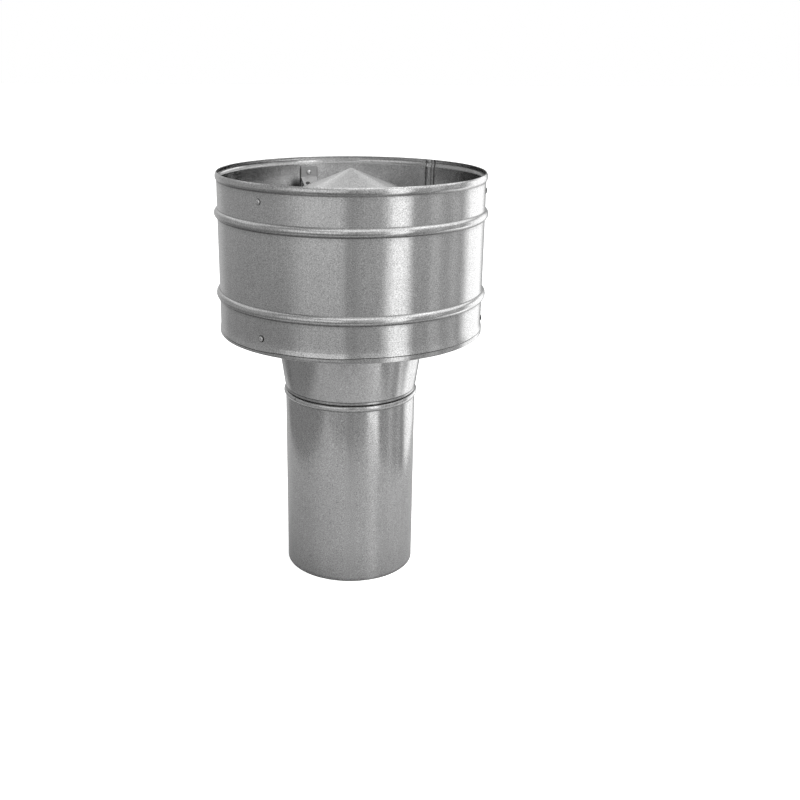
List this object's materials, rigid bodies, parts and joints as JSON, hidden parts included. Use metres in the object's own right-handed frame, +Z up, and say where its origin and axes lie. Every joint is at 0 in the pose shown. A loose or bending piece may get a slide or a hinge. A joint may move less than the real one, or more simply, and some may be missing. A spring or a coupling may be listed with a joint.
{
  "type": "cylindrical roof ventilator",
  "caption": "Static round roof ventilator: a spigot pipe and conical diffuser under an open drum that shields a low conical rain cap.",
  "frame": {"origin": "on the axis, at the foot of the spigot pipe", "axes": "+Z up along the axis from the spigot to the cap; -Y is the side that the picture shows"},
  "size_m": [0.251, 0.251, 0.3878],
  "materials": {
    "galvanised_sheet": "galvanised, satin, fine spangle",
    "bracket_strip": "galvanised strip, dull",
    "rivet_metal": "plain rivet, satin"
  },
  "bodies": {
    "root": {"spigot_pipe": "galvanised_sheet", "diffuser_cone": "galvanised_sheet", "drum_shell": "galvanised_sheet", "rain_cap": "galvanised_sheet", "upper_bracket_1": "bracket_strip", "upper_bracket_2": "bracket_strip", "upper_bracket_3": "bracket_strip", "lower_bracket_1": "bracket_strip", "lower_bracket_2": "bracket_strip", "lower_bracket_3": "bracket_strip", "drum_upper_rivets": "rivet_metal", "drum_lower_rivets": "rivet_metal", "cap_rivets": "rivet_metal", "diffuser_rivets": "rivet_metal"}
  },
  "joints": []
}
